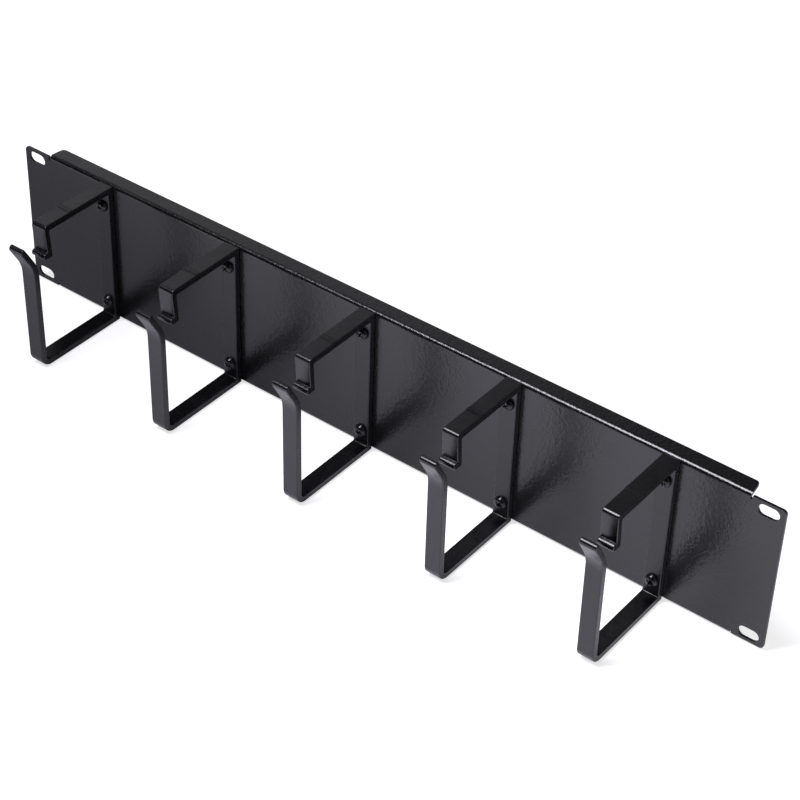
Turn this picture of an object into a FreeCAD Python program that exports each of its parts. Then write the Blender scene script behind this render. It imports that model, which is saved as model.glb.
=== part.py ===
import FreeCAD, Part
import math
import os

# Horizontal cable manager, two units high, for a 19 inch rack.
# A folded steel panel carries a row of moulded open rings on its front. Cables are pressed into a ring
# through the mouth at its top front corner, where a lip leans out to guide them. Two screws and nuts
# hold each ring to the panel.
#
# Frame, in millimetres: +X along the panel, -Y out of its front, +Z up. The origin is the centre of the
# four rack slots, on the rear face of the ears, which is the face that meets the rack posts.

# Panel: one steel sheet with a flange folded back along its top and bottom
PANEL_WIDTH = 482.6
PANEL_HEIGHT = 88.1
SHEET = 1.5
PANEL_DEPTH = 10.0
FOLD_RADIUS = 1.0
EAR_WIDTH = 18.8
FLANGE_TAPER = 1.0
FLANGE_CORNER = 2.5
RELIEF_WIDTH = 1.0
RELIEF_DEPTH = 3.0
EAR_SETBACK = 1.0
EAR_CORNER = 2.2

# Rack slots in the ears, on the 19 inch pattern
SLOT_INSET_X = 8.75
SLOT_INSET_Z = 5.95
SLOT_LENGTH = 11.5
SLOT_WIDTH = 6.6

# Rings: moulded in one piece, a flat strip all the way round
RING_COUNT = 5
RING_MARGIN = 42.5
RING_WIDTH = 9.4
STRIP = 3.8
TOP_REACH = 52.0
BOTTOM_REACH = 60.9
DROP_LENGTH = 21.2
FRONT_LEAN = 0.5
LIP_FOOT_HEIGHT = 65.4
LIP_ANGLE = 30.0
LIP_LENGTH = 17.6
LIP_THICKNESS = 3.4
LIP_BEND_RADIUS = 8.0
BEAD_HEIGHT = 0.4
BEAD_LENGTH = 3.0
BEAD_PLACE = 31.8
TOE_RADIUS = 6.0
TOP_FRONT_RADIUS = 2.3
INNER_TOE_RADIUS = 2.0
EDGE_BEVEL = 0.4
END_BEVEL = 1.1

# Screws and nuts: M4, pan head, one pair near each end of a ring's back strip
SCREW_INSET = 12.7
SCREW_DIAMETER = 4.0
SCREW_LENGTH = 10.0
HEAD_DIAMETER = 7.8
HEAD_HEIGHT = 3.1
HEAD_BEVEL = 0.38
NUT_FLATS = 7.0
NUT_HEIGHT = 3.2
HOLE_CLEARANCE = 0.25
THREAD_CLEARANCE = 0.05

# Places that follow from the sizes above
PANEL_FRONT = -SHEET
PANEL_TOP = PANEL_HEIGHT / 2
EAR_TOP = PANEL_TOP - EAR_SETBACK
FLANGE_REAR = PANEL_DEPTH - SHEET
FLANGE_LENGTH = PANEL_WIDTH - 2 * EAR_WIDTH
FLANGE_END = FLANGE_LENGTH / 2
OUTER_FOLD_RADIUS = FOLD_RADIUS + SHEET
SLOT_X = PANEL_WIDTH / 2 - SLOT_INSET_X
SLOT_Z = PANEL_HEIGHT / 2 - SLOT_INSET_Z
RING_TOP = PANEL_HEIGHT - BEAD_HEIGHT
FIRST_RING_X = RING_MARGIN - FLANGE_END
RING_PITCH = -2 * FIRST_RING_X / (RING_COUNT - 1)
SCREW_HEIGHT = PANEL_TOP - SCREW_INSET
SCREW_RADIUS = SCREW_DIAMETER / 2
HOLE_RADIUS = SCREW_RADIUS + HOLE_CLEARANCE
HEAD_SEAT = PANEL_FRONT - STRIP


def lying(x, y):
    """A point of an outline that lies flat, in plan."""
    return FreeCAD.Vector(x, y, 0)


def facing(x, z):
    """A point of an outline that faces the front, in the plane of the ears' rear face."""
    return FreeCAD.Vector(x, 0, z)


def across(y, z):
    """A point of a section across the panel."""
    return FreeCAD.Vector(0, y, z)


def in_ring(reach, height):
    """A point of a ring's side outline: its reach from the panel's front and height over the foot."""
    return across(PANEL_FRONT - reach, height - PANEL_TOP)


def crossing(point, along, other, other_along):
    """Where two lines in the plane across the panel cross."""
    between = other - point
    turn = along.y * other_along.z - along.z * other_along.y
    run = (between.y * other_along.z - between.z * other_along.y) / turn
    return point + along * run


def rounded_face(corners):
    """A flat face through (point, radius) corners. A corner with a radius becomes a tangent arc."""
    trimmed = []
    for index, (point, radius) in enumerate(corners):
        to_last = corners[index - 1][0] - point
        to_next = corners[(index + 1) % len(corners)][0] - point
        half_angle = to_last.getAngle(to_next) / 2
        inward = (to_last.normalize() + to_next.normalize()).normalize()
        trim = radius / math.tan(half_angle)
        middle = point + inward * (radius / math.sin(half_angle) - radius)
        trimmed.append((point + to_last * trim, middle, point + to_next * trim))
    edges = []
    for index, (start, middle, end) in enumerate(trimmed):
        if corners[index][1] > 0:
            edges.append(Part.Arc(start, middle, end).toShape())
        edges.append(Part.makeLine(end, trimmed[(index + 1) % len(trimmed)][0]))
    return Part.Face(Part.Wire(edges))


def make_slot():
    """A cutter for one rack slot, at the origin: straight sides and round ends, through the sheet."""
    radius = SLOT_WIDTH / 2
    straight = SLOT_LENGTH - SLOT_WIDTH
    left_end = Part.makeCylinder(radius, SHEET, facing(-straight / 2, 0), FreeCAD.Vector(0, -1, 0))
    right_end = Part.makeCylinder(radius, SHEET, facing(straight / 2, 0), FreeCAD.Vector(0, -1, 0))
    low_corner = FreeCAD.Vector(-straight / 2, PANEL_FRONT, -radius)
    return left_end.fuse(right_end).fuse(Part.makeBox(straight, SHEET, SLOT_WIDTH, low_corner))


def make_channel():
    """The middle of the panel: a face with a flange folded back along its top and bottom."""
    section = rounded_face([
        (across(FLANGE_REAR, -PANEL_TOP), 0),
        (across(PANEL_FRONT, -PANEL_TOP), OUTER_FOLD_RADIUS),
        (across(PANEL_FRONT, PANEL_TOP), OUTER_FOLD_RADIUS),
        (across(FLANGE_REAR, PANEL_TOP), 0),
        (across(FLANGE_REAR, PANEL_TOP - SHEET), 0),
        (across(0, PANEL_TOP - SHEET), FOLD_RADIUS),
        (across(0, SHEET - PANEL_TOP), FOLD_RADIUS),
        (across(FLANGE_REAR, SHEET - PANEL_TOP), 0),
    ])
    section.translate(lying(-FLANGE_END, 0))
    folded = section.extrude(lying(FLANGE_LENGTH, 0))

    # The flanges narrow towards their free edge, where their corners are rounded
    plan = rounded_face([
        (lying(-FLANGE_END, PANEL_FRONT), 0),
        (lying(FLANGE_END, PANEL_FRONT), 0),
        (lying(FLANGE_END, FOLD_RADIUS), 0),
        (lying(FLANGE_END - FLANGE_TAPER, FLANGE_REAR), FLANGE_CORNER),
        (lying(FLANGE_TAPER - FLANGE_END, FLANGE_REAR), FLANGE_CORNER),
        (lying(-FLANGE_END, FOLD_RADIUS), 0),
    ])
    plan.translate(facing(0, -PANEL_TOP))
    return folded.common(plan.extrude(facing(0, PANEL_HEIGHT)))


def make_ear():
    """The right ear: flat sheet with rounded outer corners, parted from the folds by relief notches."""
    side = PANEL_WIDTH / 2
    ear = rounded_face([
        (facing(FLANGE_END, -EAR_TOP), 0),
        (facing(side, -EAR_TOP), EAR_CORNER),
        (facing(side, EAR_TOP), EAR_CORNER),
        (facing(FLANGE_END, EAR_TOP), 0),
    ]).extrude(lying(0, PANEL_FRONT))
    for foot in (-PANEL_TOP, PANEL_TOP - RELIEF_DEPTH):
        low_corner = FreeCAD.Vector(FLANGE_END, PANEL_FRONT, foot)
        ear = ear.cut(Part.makeBox(RELIEF_WIDTH, SHEET, RELIEF_DEPTH, low_corner))
    for z in (-SLOT_Z, SLOT_Z):
        ear = ear.cut(make_slot().translated(facing(SLOT_X, z)))
    return ear


def make_panel():
    """The whole folded sheet: the channel, the holes for the rings and an ear at each end."""
    panel = make_channel()
    for ring in range(RING_COUNT):
        for z in (-SCREW_HEIGHT, SCREW_HEIGHT):
            place = facing(FIRST_RING_X + ring * RING_PITCH, z)
            panel = panel.cut(Part.makeCylinder(HOLE_RADIUS, SHEET, place, FreeCAD.Vector(0, -1, 0)))

    # The ears keep faces of their own, because only they lie against the rack posts
    ear = make_ear()
    return panel.fuse(ear).fuse(ear.mirror(FreeCAD.Vector(), lying(1, 0)))


def make_ring():
    """One open ring, centred across X = 0, with its back on the panel's front face."""
    # The front strip leans out a little, and the lip leans out further from its foot upwards
    strip_along = in_ring(math.tan(math.radians(FRONT_LEAN)), 1) - in_ring(0, 0)
    strip_along.normalize()
    strip_outward = across(-strip_along.z, strip_along.y)
    lip_tilt = math.radians(LIP_ANGLE)
    lip_along = across(-math.sin(lip_tilt), math.cos(lip_tilt))
    lip_outward = across(-lip_along.z, lip_along.y)
    toe = in_ring(BOTTOM_REACH, 0)
    lip_foot = crossing(toe, strip_along, in_ring(0, LIP_FOOT_HEIGHT), across(1, 0))
    lip_end = lip_foot + lip_along * LIP_LENGTH
    inner_strip = toe - strip_outward * STRIP
    inner_toe = crossing(inner_strip, strip_along, in_ring(0, STRIP), across(1, 0))
    inner_lip_end = lip_end - lip_outward * LIP_THICKNESS
    inner_lip_foot = crossing(inner_strip, strip_along, inner_lip_end, lip_along)
    drop_end = RING_TOP - DROP_LENGTH
    drop_back = TOP_REACH - STRIP

    outline = rounded_face([
        (in_ring(0, 0), 0),
        (toe, TOE_RADIUS),
        (lip_foot, LIP_BEND_RADIUS),
        (lip_end - lip_along * END_BEVEL, 0),
        (lip_end - lip_outward * END_BEVEL, 0),
        (inner_lip_end + lip_outward * END_BEVEL, 0),
        (inner_lip_end - lip_along * END_BEVEL, 0),
        (inner_lip_foot, LIP_BEND_RADIUS + STRIP),
        (inner_toe, INNER_TOE_RADIUS),
        (in_ring(STRIP, STRIP), 0),
        (in_ring(STRIP, RING_TOP - STRIP), 0),
        (in_ring(drop_back, RING_TOP - STRIP), 0),
        (in_ring(drop_back, drop_end + END_BEVEL), 0),
        (in_ring(drop_back + END_BEVEL, drop_end), 0),
        (in_ring(TOP_REACH - END_BEVEL, drop_end), 0),
        (in_ring(TOP_REACH, drop_end + END_BEVEL), 0),
        (in_ring(TOP_REACH, RING_TOP), TOP_FRONT_RADIUS),
        (in_ring(0, RING_TOP), 0),
    ])
    outline.translate(lying(-RING_WIDTH / 2, 0))
    strip = outline.extrude(lying(RING_WIDTH, 0))
    long_edges = []
    for edge in strip.Edges:
        if edge.BoundBox.XLength < EDGE_BEVEL:
            long_edges.append(edge)
    ring = strip.makeChamfer(EDGE_BEVEL, long_edges)

    # A low bead runs across the top arm
    bead_x = RING_WIDTH / 2 - EDGE_BEVEL
    bead_start = in_ring(BEAD_PLACE - BEAD_LENGTH / 2, RING_TOP)
    bead_crown = in_ring(BEAD_PLACE, RING_TOP + BEAD_HEIGHT)
    bead_stop = in_ring(BEAD_PLACE + BEAD_LENGTH / 2, RING_TOP)
    crown = Part.Arc(bead_start, bead_crown, bead_stop).toShape()
    bead = Part.Face(Part.Wire([crown, Part.makeLine(bead_stop, bead_start)]))
    bead.translate(lying(-bead_x, 0))
    ring = ring.fuse(bead.extrude(lying(2 * bead_x, 0)))

    for z in (-SCREW_HEIGHT, SCREW_HEIGHT):
        place = FreeCAD.Vector(0, PANEL_FRONT, z)
        ring = ring.cut(Part.makeCylinder(HOLE_RADIUS, STRIP, place, FreeCAD.Vector(0, -1, 0)))
    return ring


def make_screw():
    """One pan-head screw at X = 0 and Z = 0, its head seated on a ring's back strip."""
    head_radius = HEAD_DIAMETER / 2
    crown = HEAD_SEAT - HEAD_HEIGHT
    tip = HEAD_SEAT + SCREW_LENGTH
    half_section = Part.makePolygon([
        lying(0, crown),
        lying(head_radius - HEAD_BEVEL, crown),
        lying(head_radius, crown + HEAD_BEVEL),
        lying(head_radius, HEAD_SEAT),
        lying(SCREW_RADIUS, HEAD_SEAT),
        lying(SCREW_RADIUS, tip),
        lying(0, tip),
        lying(0, crown),
    ])
    return Part.Face(half_section).revolve(FreeCAD.Vector(), lying(0, 1), 360)


def make_nut():
    """One hexagon nut at X = 0 and Z = 0, seated on the panel's rear face."""
    corner_radius = NUT_FLATS / 2 / math.cos(math.pi / 6)
    corners = []
    for turn in range(7):
        angle = turn * math.pi / 3
        corners.append(facing(corner_radius * math.cos(angle), corner_radius * math.sin(angle)))
    prism = Part.Face(Part.makePolygon(corners)).extrude(lying(0, NUT_HEIGHT))
    bore_radius = SCREW_RADIUS + THREAD_CLEARANCE
    return prism.cut(Part.makeCylinder(bore_radius, NUT_HEIGHT, FreeCAD.Vector(), lying(0, 1)))


os.makedirs("parts", exist_ok=True)
make_panel().exportStep("parts/panel.step")
ring_shape = make_ring()
screw_shape = make_screw()
nut_shape = make_nut()
for number in range(1, RING_COUNT + 1):
    ring_x = FIRST_RING_X + (number - 1) * RING_PITCH
    ring_shape.translated(lying(ring_x, 0)).exportStep(f"parts/ring_{number}.step")
    for end, height in (("top", SCREW_HEIGHT), ("bottom", -SCREW_HEIGHT)):
        place = facing(ring_x, height)
        screw_shape.translated(place).exportStep(f"parts/screw_{number}_{end}.step")
        nut_shape.translated(place).exportStep(f"parts/nut_{number}_{end}.step")
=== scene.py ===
import bmesh
import bpy
import math
from mathutils import Matrix, Vector


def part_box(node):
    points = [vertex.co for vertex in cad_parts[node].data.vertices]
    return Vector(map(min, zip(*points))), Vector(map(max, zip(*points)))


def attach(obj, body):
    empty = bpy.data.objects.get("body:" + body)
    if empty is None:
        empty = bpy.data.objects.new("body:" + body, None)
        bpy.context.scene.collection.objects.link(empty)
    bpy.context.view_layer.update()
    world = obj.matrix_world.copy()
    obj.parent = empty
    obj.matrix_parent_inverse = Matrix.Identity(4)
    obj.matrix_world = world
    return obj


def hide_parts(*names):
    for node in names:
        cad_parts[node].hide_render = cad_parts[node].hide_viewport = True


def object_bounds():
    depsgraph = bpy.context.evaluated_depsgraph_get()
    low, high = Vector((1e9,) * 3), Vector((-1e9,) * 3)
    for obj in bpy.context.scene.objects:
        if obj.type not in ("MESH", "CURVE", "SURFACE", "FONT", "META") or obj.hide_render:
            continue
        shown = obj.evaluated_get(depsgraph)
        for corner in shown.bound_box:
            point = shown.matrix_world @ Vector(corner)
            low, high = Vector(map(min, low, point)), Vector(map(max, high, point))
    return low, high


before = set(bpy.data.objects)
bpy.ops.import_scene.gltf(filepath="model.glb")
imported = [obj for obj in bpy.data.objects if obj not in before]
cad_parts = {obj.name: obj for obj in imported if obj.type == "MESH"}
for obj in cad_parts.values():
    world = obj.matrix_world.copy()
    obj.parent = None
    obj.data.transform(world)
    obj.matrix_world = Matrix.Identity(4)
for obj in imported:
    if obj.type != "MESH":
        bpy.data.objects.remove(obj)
solid_low, solid_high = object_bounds()


# ---------------------------------------------------------------------------------------------
# Panel: one sheet of 1.5 mm steel, punched, folded back along its top and bottom and then powder
# coated black. The coat softens every sheared edge, and its skin is glossy and finely dimpled.
# ---------------------------------------------------------------------------------------------
def node_links(material):
    """The nodes and links of a material, and its own surface shader."""
    material.use_nodes = True
    tree = material.node_tree
    return tree.nodes, tree.links, tree.nodes["Principled BSDF"]


def clouds(material, size, detail):
    """A soft random pattern in the piece's own space, whose blotches are about that size."""
    nodes, links = material.node_tree.nodes, material.node_tree.links
    place = nodes.new("ShaderNodeTexCoord")
    pattern = nodes.new("ShaderNodeTexNoise")
    pattern.inputs["Scale"].default_value = 1 / size
    pattern.inputs["Detail"].default_value = detail
    links.new(place.outputs["Object"], pattern.inputs["Vector"])
    return pattern.outputs["Fac"]


def ramp(nodes, links, value, span, results):
    """A value that runs from the first result to the second while another runs over a span."""
    run = nodes.new("ShaderNodeMapRange")
    run.inputs["From Min"].default_value, run.inputs["From Max"].default_value = span
    run.inputs["To Min"].default_value, run.inputs["To Max"].default_value = results
    links.new(value, run.inputs["Value"])
    return run.outputs["Result"]


def dimple(material, skins):
    """Dimples a material's surface: each skin is the size of its dimples and their depth."""
    nodes, links, surface = node_links(material)
    below = None
    for size, depth in skins:
        bump = nodes.new("ShaderNodeBump")
        bump.inputs["Strength"].default_value = 1
        bump.inputs["Distance"].default_value = depth
        links.new(clouds(material, size, 1), bump.inputs["Height"])
        if below is not None:
            links.new(below.outputs["Normal"], bump.inputs["Normal"])
        below = bump
    links.new(below.outputs["Normal"], surface.inputs["Normal"])


def vary(material, size, gloss, shades):
    """Lets a material's gloss and shade drift between two values each, in blotches of that size."""
    nodes, links, surface = node_links(material)
    drift, usual_drift = clouds(material, size, 3), (0.3, 0.7)
    links.new(ramp(nodes, links, drift, usual_drift, gloss), surface.inputs["Roughness"])
    shade = nodes.new("ShaderNodeMix")
    shade.data_type = "RGBA"
    shade.inputs["A"].default_value, shade.inputs["B"].default_value = shades
    links.new(drift, shade.inputs["Factor"])
    links.new(shade.outputs["Result"], surface.inputs["Base Color"])


def powder_coat():
    """Black powder coat: fine dimples over slower swells, glossy with slightly duller patches."""
    fine_dimples, slow_swells = (0.0012, 0.00004), (0.0024, 0.0001)
    patch_size, patch_gloss = 0.03, (0.22, 0.28)
    darker, lighter = (0.0016, 0.0016, 0.002, 1), (0.003, 0.003, 0.0036, 1)
    coat = bpy.data.materials.new("black_powder_coat")
    coat.use_nodes = True
    coat.node_tree.nodes["Principled BSDF"].inputs["IOR"].default_value = 1.6
    dimple(coat, [fine_dimples, slow_swells])
    vary(coat, patch_size, patch_gloss, (darker, lighter))
    return coat


def worked(name, mesh):
    """A new object in the scene for a mesh, to be worked on."""
    made = bpy.data.objects.new(name, mesh)
    bpy.context.scene.collection.objects.link(made)
    return made


def settled(made):
    """The same object with its modifiers made real in a plain mesh."""
    shape = made.evaluated_get(bpy.context.evaluated_depsgraph_get())
    made.data = bpy.data.meshes.new_from_object(shape)
    made.modifiers.clear()
    return made


def smoothed(made, crease):
    """Shades a piece smooth up to that crease angle, with its flat faces kept flat."""
    made.data.shade_smooth()
    made.data.set_sharp_from_angle(angle=crease)
    flat = made.modifiers.new("flat_faces", "WEIGHTED_NORMAL")
    flat.keep_sharp = True
    return settled(made)


def fitted(piece, material, slot, *nodes):
    """Gives a finished piece its material, hangs it on the root body and hides the solids it stands for."""
    piece.data.materials.clear()
    piece.data.materials.append(material)
    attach(piece, "root")
    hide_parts(*nodes)


same_place, same_face = 0.000002, math.radians(1)
sheared_round, sheared_angle = 0.00025, math.radians(40)
panel_crease = math.radians(50)
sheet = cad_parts["panel"].data.copy()
work = bmesh.new()
work.from_mesh(sheet)
bmesh.ops.remove_doubles(work, verts=work.verts, dist=same_place)
bmesh.ops.dissolve_limit(work, angle_limit=same_face, verts=work.verts, edges=work.edges)
work.to_mesh(sheet)
work.free()
panel = worked("folded_panel", sheet)
softened = panel.modifiers.new("coated_edges", "BEVEL")
softened.width = sheared_round
softened.segments = 3
softened.limit_method = "ANGLE"
softened.angle_limit = sheared_angle
smoothed(settled(panel), panel_crease)
fitted(panel, powder_coat(), "panel_coat", "panel")


# ---------------------------------------------------------------------------------------------
# Rings: each is one moulding in glossy black plastic, a flat strip all the way round with rounded
# edges and a low bead across the top arm. The drop leans in to a small toe turned out at its end,
# and the front strip leans out to a lip at the mouth, cut level at its top.
# ---------------------------------------------------------------------------------------------
def gloss_plastic():
    """Black moulded plastic: a fine grain over slow waves where the strip has sunk as it cooled."""
    fine_grain, slow_waves = (0.0009, 0.000012), (0.004, 0.00007)
    patch_size, patch_gloss = 0.015, (0.24, 0.31)
    darker, lighter = (0.0014, 0.0014, 0.0018, 1), (0.0026, 0.0026, 0.0032, 1)
    plastic = bpy.data.materials.new("black_moulded_plastic")
    plastic.use_nodes = True
    plastic.node_tree.nodes["Principled BSDF"].inputs["IOR"].default_value = 1.55
    dimple(plastic, [fine_grain, slow_waves])
    vary(plastic, patch_size, patch_gloss, (darker, lighter))
    return plastic


def crossing(point, along, other, other_along):
    """Where two lines of a flat outline cross."""
    return point + along * ((other - point).cross(other_along) / along.cross(other_along))


def rounded_outline(corners, turn_per_step):
    """The points of a closed outline through (corner, radius) pairs, each turned at its radius."""
    points = []
    for index, (corner, radius) in enumerate(corners):
        to_last = (corners[index - 1][0] - corner).normalized()
        to_next = (corners[(index + 1) % len(corners)][0] - corner).normalized()
        half_angle = to_last.angle(to_next) / 2
        centre = corner + (to_last + to_next).normalized() * (radius / math.sin(half_angle))
        spoke = corner + to_last * (radius / math.tan(half_angle)) - centre
        sweep = math.pi - 2 * half_angle
        if to_last.cross(to_next) > 0:
            sweep = -sweep
        steps = max(3, round(abs(sweep) / turn_per_step))
        for step in range(steps + 1):
            points.append(centre + Matrix.Rotation(sweep * step / steps, 2) @ spoke)
    return points


def modelled(name, work):
    """A new object in the scene with the shape that was worked, whose workpiece is put away."""
    mesh = bpy.data.meshes.new(name)
    work.to_mesh(mesh)
    work.free()
    return worked(name, mesh)


def copies_tree():
    """Copies of a piece in columns and rows, each turned a little at random, made real in one finish."""
    tree = bpy.data.node_groups.new("copies_in_rows", "GeometryNodeTree")
    for name, kind in (("Piece", "Geometry"), ("Columns", "Int"), ("Rows", "Int"), ("First place", "Vector"),
                       ("Column step", "Vector"), ("Row step", "Vector"), ("Most turn", "Float"),
                       ("Seed", "Int"), ("Finish", "Material")):
        tree.interface.new_socket(name, in_out="INPUT", socket_type="NodeSocket" + kind)
    tree.interface.new_socket("Copies", in_out="OUTPUT", socket_type="NodeSocketGeometry")
    nodes, links = tree.nodes, tree.links
    given = nodes.new("NodeGroupInput").outputs
    columns = nodes.new("GeometryNodeMeshLine")
    links.new(given["Columns"], columns.inputs["Count"])
    links.new(given["First place"], columns.inputs["Start Location"])
    links.new(given["Column step"], columns.inputs["Offset"])
    rows = nodes.new("GeometryNodeMeshLine")
    links.new(given["Rows"], rows.inputs["Count"])
    links.new(given["Row step"], rows.inputs["Offset"])
    places = nodes.new("GeometryNodeInstanceOnPoints")
    links.new(columns.outputs["Mesh"], places.inputs["Points"])
    links.new(rows.outputs["Mesh"], places.inputs["Instance"])
    real_places = nodes.new("GeometryNodeRealizeInstances")
    links.new(places.outputs["Instances"], real_places.inputs["Geometry"])
    turn = nodes.new("FunctionNodeRandomValue")
    turn.data_type = "FLOAT"
    turn.inputs["Min"].default_value = 0
    links.new(given["Most turn"], turn.inputs["Max"])
    links.new(given["Seed"], turn.inputs["Seed"])
    about_screw = nodes.new("ShaderNodeCombineXYZ")
    links.new(turn.outputs["Value"], about_screw.inputs["Y"])
    copies = nodes.new("GeometryNodeInstanceOnPoints")
    links.new(real_places.outputs["Geometry"], copies.inputs["Points"])
    links.new(given["Piece"], copies.inputs["Instance"])
    links.new(about_screw.outputs["Vector"], copies.inputs["Rotation"])
    real_copies = nodes.new("GeometryNodeRealizeInstances")
    links.new(copies.outputs["Instances"], real_copies.inputs["Geometry"])
    finish = nodes.new("GeometryNodeSetMaterial")
    links.new(real_copies.outputs["Geometry"], finish.inputs["Geometry"])
    links.new(given["Finish"], finish.inputs["Material"])
    links.new(finish.outputs["Geometry"], nodes.new("NodeGroupOutput").inputs["Copies"])
    return tree


def repeated(made, tree, **sizes):
    """Repeats a worked object by a tree of copies, given the tree's named inputs."""
    copies = made.modifiers.new("copies", "NODES")
    copies.node_group = tree
    for socket in tree.interface.items_tree:
        key = socket.name.replace(" ", "_").lower()
        if socket.in_out == "INPUT" and key in sizes:
            copies[socket.identifier] = sizes[key]
    return settled(made)


def bored(made, tool, how):
    """Cuts a worked object with a tool, or keeps what both share, and throws the tool away."""
    cut = made.modifiers.new("cut", "BOOLEAN")
    cut.operation = how
    cut.solver = "EXACT"
    cut.object = tool
    settled(made)
    bpy.data.objects.remove(tool)
    return made


ring_low, ring_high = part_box("ring_1")
ring_width = ring_high.x - ring_low.x
first_ring = (ring_low.x + ring_high.x) / 2
ring_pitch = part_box("ring_2")[0].x - ring_low.x
panel_front = ring_high.y
foot = ring_low.z
bead_place, bead_length, bead_height, bead_steps = 0.0318, 0.0048, 0.0004, 8
ring_top = ring_high.z - foot - bead_height
strip, lip_strip = 0.0038, 0.0034
top_reach, bottom_reach = 0.052, 0.0609
back_round, inner_round, long_edge_round = 0.0007, 0.0006, 0.0005
bottom_bend, inner_bottom_bend = 0.007, 0.0022
front_lean, lip_lean = math.radians(0.5), math.radians(30)
lip_foot_height, lip_top_height = 0.0654, 0.0812
lip_bend, inner_lip_bend = 0.02, 0.024
lip_nose_round, lip_back_round = 0.002, 0.0007
drop_end = ring_top - 0.0207
drop_lean, drop_bend, drop_rear_round = math.radians(4), 0.0023, 0.0012
toe_fall, toe_reach, toe_round, toe_waist_round = math.radians(8), 0.05165, 0.0019, 0.0002
turn_per_step = math.radians(5)

# The outline is drawn flat, as reach from the panel and height from the ring's foot.
level = Vector((1, 0))
up_strip = Vector((math.sin(front_lean), math.cos(front_lean)))
off_strip = Vector((up_strip.y, -up_strip.x))
up_lip = Vector((math.sin(lip_lean), math.cos(lip_lean)))
off_lip = Vector((up_lip.y, -up_lip.x))
strip_foot = Vector((bottom_reach, 0))
inner_strip = strip_foot - off_strip * strip
lip_foot = crossing(strip_foot, up_strip, Vector((0, lip_foot_height)), level)
inner_lip = lip_foot - off_lip * lip_strip
lip_top = Vector((0, lip_top_height))
down_drop = Vector((-math.sin(drop_lean), -math.cos(drop_lean)))
drop_front = Vector((top_reach, ring_top))
drop_rear = Vector((top_reach - strip, ring_top - strip))
drop_foot = Vector((0, drop_end))
along_toe = Vector((math.cos(toe_fall), -math.sin(toe_fall)))
toe_top = Vector((toe_reach, drop_end + toe_round))
toe_top += Vector((math.sin(toe_fall), math.cos(toe_fall))) * toe_round
bead = []
for step in range(bead_steps + 1):
    along = step / bead_steps
    rise = bead_height * math.sin(math.pi * along) ** 2
    bead.append((Vector((bead_place + bead_length * (0.5 - along), ring_top + rise)), 0))
outline = rounded_outline([
    (Vector((0, 0)), back_round),
    (strip_foot, bottom_bend),
    (lip_foot, lip_bend),
    (crossing(lip_foot, up_lip, lip_top, level), lip_nose_round),
    (crossing(inner_lip, up_lip, lip_top, level), lip_back_round),
    (crossing(inner_strip, up_strip, inner_lip, up_lip), inner_lip_bend),
    (crossing(inner_strip, up_strip, Vector((0, strip)), level), inner_bottom_bend),
    (Vector((strip, strip)), inner_round),
    (Vector((strip, ring_top - strip)), inner_round),
    (drop_rear, inner_round),
    (crossing(drop_rear, down_drop, drop_foot, level), drop_rear_round),
    (crossing(toe_top, along_toe, drop_foot, level), toe_round),
    (crossing(toe_top, along_toe, drop_front, down_drop), toe_waist_round),
    (drop_front, drop_bend),
    *bead,
    (Vector((0, ring_top)), back_round),
], turn_per_step)

work = bmesh.new()
side = [work.verts.new((-ring_width / 2, panel_front - point.x, foot + point.y)) for point in outline]
drawn = bmesh.ops.extrude_face_region(work, geom=[work.faces.new(side)])
far_side = [item for item in drawn["geom"] if isinstance(item, bmesh.types.BMVert)]
bmesh.ops.translate(work, verts=far_side, vec=(ring_width, 0, 0))
bmesh.ops.remove_doubles(work, verts=work.verts, dist=0.000001)
bmesh.ops.recalc_face_normals(work, faces=work.faces)
long_edges = [edge for edge in work.edges if abs(edge.verts[0].co.x - edge.verts[1].co.x) < ring_width / 2]
bmesh.ops.bevel(work, geom=long_edges, offset=long_edge_round, offset_type="OFFSET", segments=4,
                profile=0.5, affect="EDGES", clamp_overlap=False)
ring = modelled("open_rings", work)

screw_low, screw_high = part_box("screw_1_top")
screw_height = (screw_low.z + screw_high.z) / 2
hole_radius, ring_crease = 0.00225, math.radians(40)
for height in (-screw_height, screw_height):
    work = bmesh.new()
    bmesh.ops.create_cone(work, cap_ends=True, segments=48, radius1=hole_radius, radius2=hole_radius,
                          depth=4 * strip)
    bmesh.ops.rotate(work, verts=work.verts, matrix=Matrix.Rotation(math.pi / 2, 3, "X"))
    bmesh.ops.translate(work, verts=work.verts, vec=(0, panel_front, height))
    bored(ring, modelled("drill", work), "DIFFERENCE")

copies = copies_tree()
plastic = gloss_plastic()
repeated(ring, copies, columns=5, rows=1, first_place=(first_ring, 0, 0), column_step=(ring_pitch, 0, 0),
         most_turn=0.0, seed=0, finish=plastic)
smoothed(ring, ring_crease)
fitted(ring, plastic, "ring_plastic", *[f"ring_{number}" for number in range(1, 6)])


# ---------------------------------------------------------------------------------------------
# Screws: M4 steel screws plated black, two through each ring's back strip. The pan heads are
# domed and cold formed with a cross recess, and the shanks are rolled to a 0.7 mm thread.
# ---------------------------------------------------------------------------------------------
def plating(name, metallic, gloss, shades):
    """A plated steel, finely mottled in gloss and shade."""
    fine_grain, mottle_size = (0.0005, 0.000012), 0.0014
    plate = bpy.data.materials.new(name)
    plate.use_nodes = True
    plate.node_tree.nodes["Principled BSDF"].inputs["Metallic"].default_value = metallic
    dimple(plate, [fine_grain])
    vary(plate, mottle_size, gloss, shades)
    return plate


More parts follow.
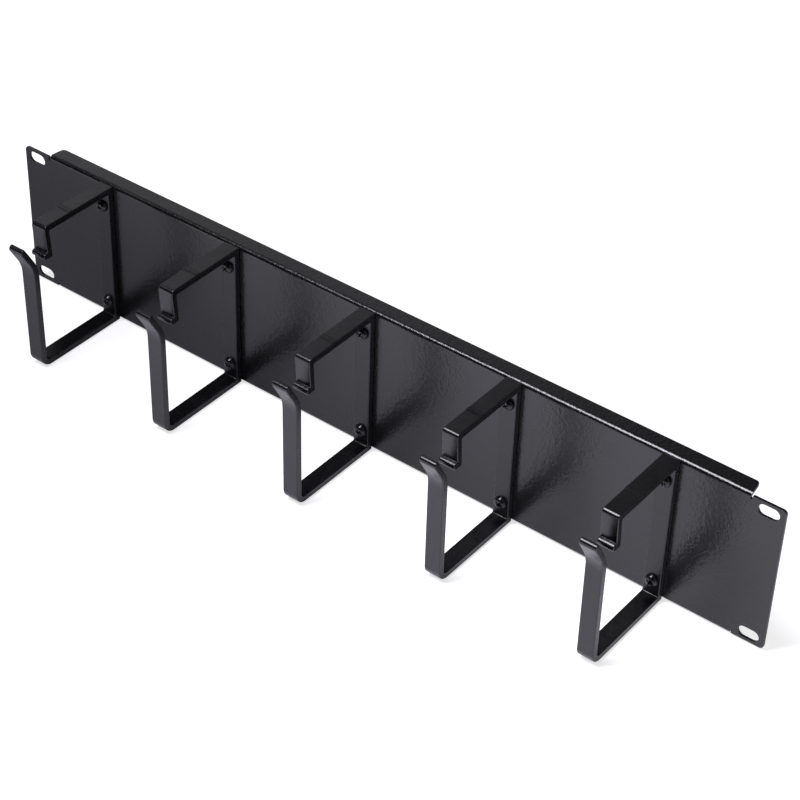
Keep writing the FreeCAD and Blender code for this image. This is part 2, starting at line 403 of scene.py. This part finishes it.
def turned(name, profile, steps, radius_at):
    """A solid turned about Y through (radius, y) points from axis to axis, as a lathe would cut it."""
    work = bmesh.new()
    rings = []
    for radius, along in profile:
        if radius == 0:
            rings.append([work.verts.new((0, along, 0))] * steps)
            continue
        rings.append([])
        for step in range(steps):
            angle = 2 * math.pi * step / steps
            size = radius_at(radius, along, angle)
            rings[-1].append(work.verts.new((size * math.cos(angle), along, size * math.sin(angle))))
    for ring_of_points, next_ring in zip(rings, rings[1:]):
        for step in range(steps):
            after = (step + 1) % steps
            loop = [ring_of_points[step], ring_of_points[after], next_ring[after], next_ring[step]]
            work.faces.new(list(dict.fromkeys(loop)))
    bmesh.ops.recalc_face_normals(work, faces=work.faces)
    return modelled(name, work)


head_radius, head_height, head_steps, dome_fullness = 0.0035, 0.0027, 14, 3.4
seat, tip = panel_front - strip, screw_high.y
crown = seat - head_height
shank_radius, tip_radius, tip_length = 0.002, 0.0014, 0.0004
thread_depth, thread_pitch, thread_sharpness, rows_per_pitch = 0.00038, 0.0007, 1.3, 6
recess_depth, recess_reach, recess_width, recess_taper = 0.0018, 0.002, 0.0008, 0.55
plain_neck, cut_past = 0.0002, 0.0002
screw_crease = math.radians(35)


def rolled(radius, along, angle):
    """The shank's radius where the thread winds round it; the head and the tip stay round."""
    if along < seat + plain_neck or radius < shank_radius:
        return radius
    wound = (along / thread_pitch - angle / (2 * math.pi)) % 1
    return radius - thread_depth * abs(2 * wound - 1) ** thread_sharpness


head_profile = [(0, crown)]
for step in range(1, head_steps + 1):
    share = math.sin(step / head_steps * math.pi / 2)
    head_profile.append((head_radius * share, seat - head_height * (1 - share ** dome_fullness) ** 0.5))
shank_profile = []
thread_rows = rows_per_pitch * round((tip - seat) / thread_pitch)
for step in range(thread_rows + 1):
    shank_profile.append((shank_radius, seat + (tip - tip_length - seat) * step / thread_rows))
screw = turned("screws", head_profile + shank_profile + [(tip_radius, tip), (0, tip)], 40, rolled)
for turn in (0, math.pi / 2):
    work = bmesh.new()
    bmesh.ops.create_cone(work, cap_ends=True, segments=4, radius1=math.sqrt(0.5),
                          radius2=math.sqrt(0.5) * recess_taper, depth=1)
    bmesh.ops.rotate(work, verts=work.verts, matrix=Matrix.Rotation(math.pi / 4, 3, "Z"))
    bmesh.ops.translate(work, verts=work.verts, vec=(0, 0, 0.5))
    bmesh.ops.scale(work, verts=work.verts, vec=(2 * recess_reach, recess_width, recess_depth + cut_past))
    bmesh.ops.rotate(work, verts=work.verts, matrix=Matrix.Rotation(-math.pi / 2, 3, "X"))
    bmesh.ops.rotate(work, verts=work.verts, matrix=Matrix.Rotation(turn, 3, "Y"))
    bmesh.ops.translate(work, verts=work.verts, vec=(0, crown - cut_past, 0))
    bored(screw, modelled("punch", work), "DIFFERENCE")
black_plate = plating("black_plated_steel", 0.0, (0.12, 0.22),
                      ((0.004, 0.004, 0.0045, 1), (0.01, 0.01, 0.011, 1)))
repeated(screw, copies, columns=5, rows=2, first_place=(first_ring, 0, -screw_height),
         column_step=(ring_pitch, 0, 0), row_step=(0, 0, 2 * screw_height), most_turn=2 * math.pi, seed=7,
         finish=black_plate)
smoothed(screw, screw_crease)
ends = [f"{number}_{end}" for number in range(1, 6) for end in ("top", "bottom")]
fitted(screw, black_plate, "screw_black", *[f"screw_{end}" for end in ends])


# ---------------------------------------------------------------------------------------------
# Nuts: M4 hexagon nuts in bright zinc plate, one on each screw behind the panel. Both faces are
# chamfered at the corners, and the bore is countersunk to lead the thread in.
# ---------------------------------------------------------------------------------------------
def plain(radius, along, angle):
    """A round body keeps its radius."""
    return radius


nut_low, nut_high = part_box("nut_1_top")
nut_seat, nut_back = nut_low.y, nut_high.y
corner_radius = (nut_high.x - nut_low.x) / 2
bore_radius, chamfer, face_shy, drill_past = 0.00205, 0.0004, 0.0001, 0.001
face_radius = corner_radius * math.cos(math.pi / 6) - face_shy
sink_radius = bore_radius + chamfer + drill_past
nut_crease = math.radians(25)
nut = turned("nuts", [(0, nut_seat), (corner_radius, nut_seat), (corner_radius, nut_back), (0, nut_back)],
             6, plain)
barrel = turned("barrel", [
    (0, nut_seat), (face_radius, nut_seat), (corner_radius + cut_past, nut_seat + chamfer),
    (corner_radius + cut_past, nut_back - chamfer), (face_radius, nut_back), (0, nut_back),
], 60, plain)
bored(nut, barrel, "INTERSECT")
drill = turned("drill", [
    (0, nut_seat - drill_past), (sink_radius, nut_seat - drill_past), (bore_radius, nut_seat + chamfer),
    (bore_radius, nut_back - chamfer), (sink_radius, nut_back + drill_past), (0, nut_back + drill_past),
], 40, plain)
bored(nut, drill, "DIFFERENCE")
zinc_plate = plating("zinc_plated_steel", 1.0, (0.22, 0.36), ((0.5, 0.52, 0.55, 1), (0.66, 0.67, 0.68, 1)))
repeated(nut, copies, columns=5, rows=2, first_place=(first_ring, 0, -screw_height),
         column_step=(ring_pitch, 0, 0), row_step=(0, 0, 2 * screw_height), most_turn=0.0, seed=0,
         finish=zinc_plate)
smoothed(nut, nut_crease)
fitted(nut, zinc_plate, "nut_zinc", *[f"nut_{end}" for end in ends])


# ---------------------------------------------------------------------------------------------
# Table and light: a white table that the panel and the rings' feet stand on, and an oblong soft
# box overhead, a little to the front and left. A white card stands far round to the left behind,
# and a faint glow comes from the right behind.
# ---------------------------------------------------------------------------------------------
def joined(nodes, links, operation, *values):
    """Values joined into one by a sum or a product."""
    join = nodes.new("ShaderNodeMath")
    join.operation = operation
    for value, socket in zip(values, join.inputs):
        links.new(value, socket)
    return join.outputs["Value"]


def table_top():
    """White table: matt, with painted shade greying its colour near the panel and to the left, a painted
    glow in its reflections that grows to the front and right, and lifted to white for the camera.
    """
    towards_front_right, cool_tint = (0.4, -0.9, 0), (("Red", 0.985), ("Green", 0.975), ("Blue", 1.04))
    painted_shade_span, painted_shade_grey, whitest = (-0.05, 0.09), 0.4, 0.84
    painted_reflection_span, painted_reflection_lift = (-0.03, 0.13), (0, 0.48)
    camera_span, camera_lift = (0.2, 0.45), (0.7, 1)
    white = bpy.data.materials.new("white_table")
    nodes, links, skin = node_links(white)
    skin.inputs["Roughness"].default_value = 0.9
    skin.inputs["Specular IOR Level"].default_value = 0.0
    place = nodes.new("ShaderNodeTexCoord")
    across = nodes.new("ShaderNodeVectorMath")
    across.operation = "DOT_PRODUCT"
    across.inputs[1].default_value = towards_front_right
    links.new(place.outputs["Object"], across.inputs[0])
    away = nodes.new("ShaderNodeVectorMath")
    away.operation = "LENGTH"
    links.new(place.outputs["Object"], away.inputs[0])
    shade = nodes.new("ShaderNodeCombineColor")
    # Painted shade: the table's colour greys towards the panel and the left, standing in for the shade and
    # weaker light there.
    for channel, tint in cool_tint:
        painted_grey = ramp(nodes, links, across.outputs["Value"], painted_shade_span, (painted_shade_grey * tint, whitest * tint))
        links.new(painted_grey, shade.inputs[channel])
    links.new(shade.outputs["Color"], skin.inputs["Base Color"])
    rays = nodes.new("ShaderNodeLightPath")
    # Painted light: reflections of the table see an added glow that grows towards the front and right,
    # standing in for the table being lit more there.
    painted_reflection = joined(nodes, links, "MULTIPLY", rays.outputs["Is Glossy Ray"],
                      ramp(nodes, links, across.outputs["Value"], painted_reflection_span, painted_reflection_lift))
    brightness = joined(nodes, links, "MULTIPLY_ADD", rays.outputs["Is Camera Ray"],
                        ramp(nodes, links, away.outputs["Value"], camera_span, camera_lift), painted_reflection)
    colour = nodes.new("ShaderNodeMix")
    colour.data_type = "RGBA"
    colour.inputs["A"].default_value = (0.98, 0.965, 1.06, 1)
    colour.inputs["B"].default_value = (1, 1, 0.99, 1)
    links.new(rays.outputs["Is Camera Ray"], colour.inputs["Factor"])
    whitening_and_painted_glow = nodes.new("ShaderNodeEmission")
    links.new(colour.outputs["Result"], whitening_and_painted_glow.inputs["Color"])
    links.new(brightness, whitening_and_painted_glow.inputs["Strength"])
    both = nodes.new("ShaderNodeAddShader")
    links.new(skin.outputs["BSDF"], both.inputs[0])
    links.new(whitening_and_painted_glow.outputs["Emission"], both.inputs[1])
    links.new(both.outputs["Shader"], nodes["Material Output"].inputs["Surface"])
    return white


table_reach, table_gap = 8.0, 0.0002
table_height = solid_low[2] - table_gap
corners = [(-table_reach, -table_reach), (table_reach, -table_reach), (table_reach, table_reach),
           (-table_reach, table_reach)]
table_mesh = bpy.data.meshes.new("table")
table_mesh.from_pydata([(x, y, table_height) for x, y in corners], [], [(0, 1, 2, 3)])
table_mesh.materials.append(table_top())
worked("table", table_mesh)

world = bpy.data.worlds.new("studio")
bpy.context.scene.world = world
world.use_nodes = True
nodes, links = world.node_tree.nodes, world.node_tree.links
sky = nodes["Background"]
sky.inputs["Color"].default_value = (0.98, 0.97, 1.05, 1)
facing = nodes.new("ShaderNodeTexCoord")


def glow(towards, span, brightness):
    """A brightness that changes over a span as a direction turns towards the one given."""
    share = nodes.new("ShaderNodeVectorMath")
    share.operation = "DOT_PRODUCT"
    share.inputs[1].default_value = towards
    links.new(facing.outputs["Generated"], share.inputs[0])
    return ramp(nodes, links, share.outputs["Value"], span, brightness)


left_behind, card_edge, card_brightness = (-0.83, 0.45, 0.33), (0.785, 0.97), (0, 0.72)
overhead, card_foot, foot_share = (0, 0, 1), (0.25, 0.5), (0.3, 1)
right_behind, glow_edge, glow_brightness = (0.8, 0.6, 0), (0.1, 0.6), (0, 0.25)
card = joined(nodes, links, "MULTIPLY", glow(left_behind, card_edge, card_brightness),
              glow(overhead, card_foot, foot_share))
strength = joined(nodes, links, "ADD", card, glow(right_behind, glow_edge, glow_brightness))
rays = nodes.new("ShaderNodeLightPath")
white_to_camera = nodes.new("ShaderNodeMix")
links.new(rays.outputs["Is Camera Ray"], white_to_camera.inputs["Factor"])
links.new(strength, white_to_camera.inputs["A"])
white_to_camera.inputs["B"].default_value = 1
links.new(white_to_camera.outputs["Result"], sky.inputs["Strength"])

lamp_distance, lamp_direction = 1.5, Vector((-0.22, -0.3, 0.928))
soft_box = bpy.data.lights.new("soft_box", "AREA")
soft_box.shape = "RECTANGLE"
soft_box.size, soft_box.size_y = 0.5, 0.85
soft_box.energy = 24
soft_box.color = (0.98, 0.96, 1.06)
lamp = worked("soft_box", soft_box)
lamp.location = lamp_distance * lamp_direction
lamp.rotation_euler = (-lamp.location).to_track_quat("-Z", "Y").to_euler()


# ---------------------------------------------------------------------------------------------
# Camera: above and to the right of the panel's middle, rolled 2 degrees anticlockwise. It stands
# about 1.1 m off with a long lens, so that the far rings look almost as large as the near ones.
# ---------------------------------------------------------------------------------------------
azimuth, elevation, roll = math.radians(36.502), math.radians(38.132), math.radians(2.073)
aim, distance = Vector((0.021915, -0.0015, -0.002857)), 1.14493
back = Vector((math.sin(azimuth) * math.cos(elevation), -math.cos(azimuth) * math.cos(elevation),
               math.sin(elevation)))
right = Vector((math.cos(azimuth), math.sin(azimuth), 0))
up = back.cross(right)
right_rolled = math.cos(roll) * right + math.sin(roll) * up
up_rolled = -math.sin(roll) * right + math.cos(roll) * up
lens = bpy.data.cameras.new("camera")
lens.sensor_width = 36
lens.lens = 101.135
lens.clip_start = 0.05
camera = worked("camera", lens)
heading = Matrix((right_rolled, up_rolled, back)).transposed().to_4x4()
camera.matrix_world = Matrix.Translation(aim + back * distance) @ heading
bpy.context.scene.camera = camera
bpy.context.scene.view_settings.view_transform = "Standard"
